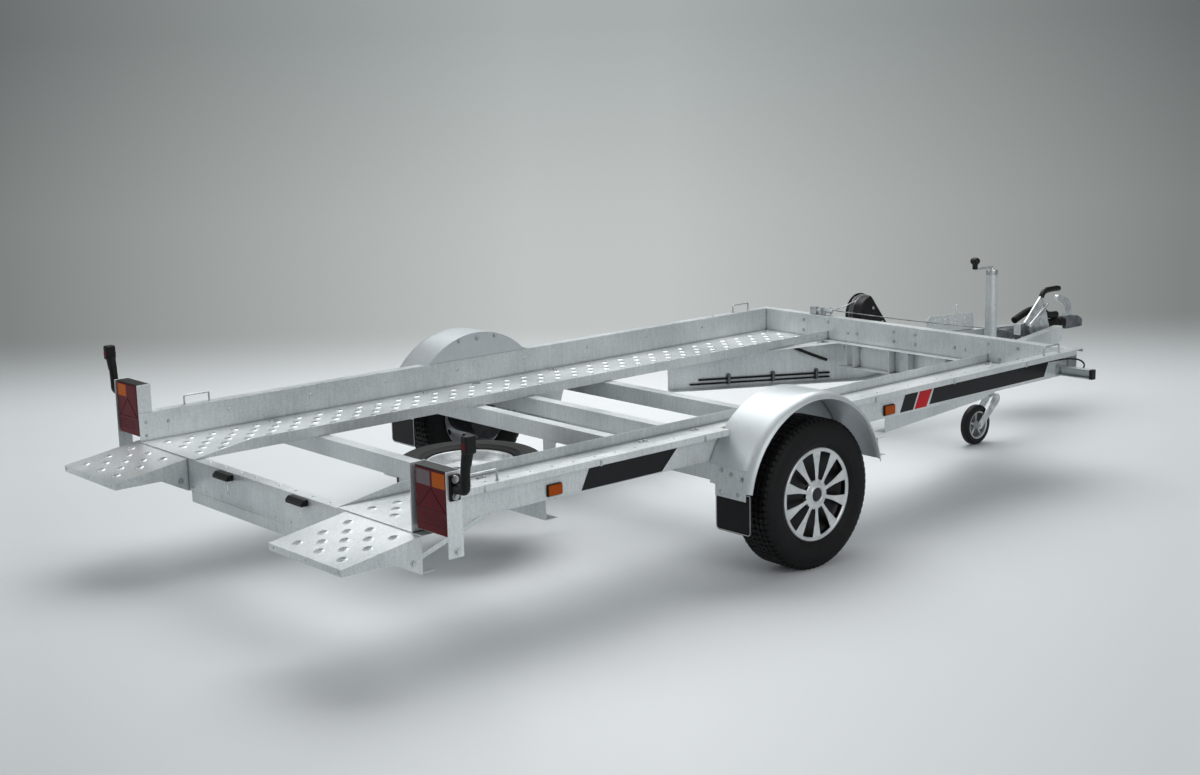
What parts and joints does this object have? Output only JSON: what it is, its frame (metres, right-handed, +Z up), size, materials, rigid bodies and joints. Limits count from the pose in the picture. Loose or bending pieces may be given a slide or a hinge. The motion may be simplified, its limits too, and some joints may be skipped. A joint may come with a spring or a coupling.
{
  "type": "car hauler trailer",
  "caption": "Open car hauler trailer: channel wheel tracks on crossbeams, V drawbar with coupling, mudguards over the wheels, spare wheel below and a jockey wheel that holds the nose.",
  "frame": {"origin": "on the ground under the middle of the trailer's box", "axes": "+X forwards to the coupling, +Y to the trailer's left, +Z up"},
  "size_m": [5.677, 2.58, 0.967],
  "materials": {
    "galvanised_steel": "hot-dip galvanised, spangled",
    "tyre_rubber": "matt",
    "rim_paint": "silver paint",
    "cover_silver": "silver",
    "hub_iron": "dark",
    "zinc_sheet": "satin zinc",
    "black_rubber": "matt",
    "black_plastic": "matt",
    "lens_red": "gloss lens",
    "lens_amber": "gloss lens",
    "lever_steel": "zinc plated",
    "cast_grey": "zinc plated casting"
  },
  "bodies": {
    "chassis": {"track_left": "galvanised_steel", "track_right": "galvanised_steel", "rear_beam": "galvanised_steel", "rear_skirt": "galvanised_steel", "crossbeam_1": "galvanised_steel", "crossbeam_2": "galvanised_steel", "crossbeam_3": "galvanised_steel", "crossbeam_4": "galvanised_steel", "front_wall": "galvanised_steel", "front_crossbeam": "galvanised_steel", "drawbar_left": "galvanised_steel", "drawbar_right": "galvanised_steel", "runup_plate_left": "galvanised_steel", "runup_plate_right": "galvanised_steel", "axle": "galvanised_steel", "mudguards": "zinc_sheet", "guard_stays": "galvanised_steel", "mudflaps": "black_rubber", "lamp_bracket_left": "galvanised_steel", "lamp_bracket_right": "galvanised_steel", "tail_lamps": "black_plastic", "tail_lenses": "lens_red", "marker_arms": "black_rubber", "plate_lamps": "black_plastic", "side_markers": "lens_amber", "rope_rings": "lever_steel", "outriggers": "galvanised_steel", "outrigger_lamps": "black_plastic", "spare_tyre": "tyre_rubber", "spare_rim": "rim_paint", "spare_carrier": "galvanised_steel", "saddles": "galvanised_steel", "overrun_housing": "cast_grey", "gaiter": "black_rubber", "coupling_head": "cast_grey", "coupling_handle": "lever_steel", "handbrake_lever": "lever_steel", "handbrake_grip": "black_plastic", "rubber_sleeve": "black_rubber", "winch": "black_plastic", "winch_bracket": "galvanised_steel", "winch_hook": "galvanised_steel", "winch_cable": "lever_steel", "winch_plate": "galvanised_steel", "jockey_outer_tube": "galvanised_steel", "jockey_clamp": "cast_grey", "jockey_crank": "lever_steel", "jockey_knob": "black_plastic"},
    "wheel_left": {"tyre_left": "tyre_rubber", "rim_left": "rim_paint", "wheel_cover_left": "cover_silver", "hub_left": "hub_iron"},
    "wheel_right": {"tyre_right": "tyre_rubber", "rim_right": "rim_paint", "wheel_cover_right": "cover_silver", "hub_right": "hub_iron"},
    "jockey_leg": {"jockey_inner_tube": "galvanised_steel"},
    "jockey_fork": {"jockey_fork": "lever_steel"},
    "jockey_wheel": {"jockey_wheel": "black_rubber"}
  },
  "joints": [
    {"name": "wheel_left_spin", "type": "hinge", "parent": "chassis", "child": "wheel_left", "pos_m": [-0.7285, 1.1075, 0.305], "axis": [0, 1, 0], "continuous": true},
    {"name": "wheel_right_spin", "type": "hinge", "parent": "chassis", "child": "wheel_right", "pos_m": [-0.7285, -1.1075, 0.305], "axis": [0, 1, 0], "continuous": true},
    {"name": "jockey_lift", "type": "slide", "parent": "chassis", "child": "jockey_leg", "axis": [0, 0, 1], "range_m": [-0.15, 0.008]},
    {"name": "jockey_swivel", "type": "hinge", "parent": "jockey_leg", "child": "jockey_fork", "pos_m": [1.5685, -0.31709, 0.25], "axis": [0, 0, 1], "continuous": true},
    {"name": "jockey_spin", "type": "hinge", "parent": "jockey_fork", "child": "jockey_wheel", "pos_m": [1.4535, -0.31709, 0.103], "axis": [0, 1, 0], "continuous": true}
  ]
}
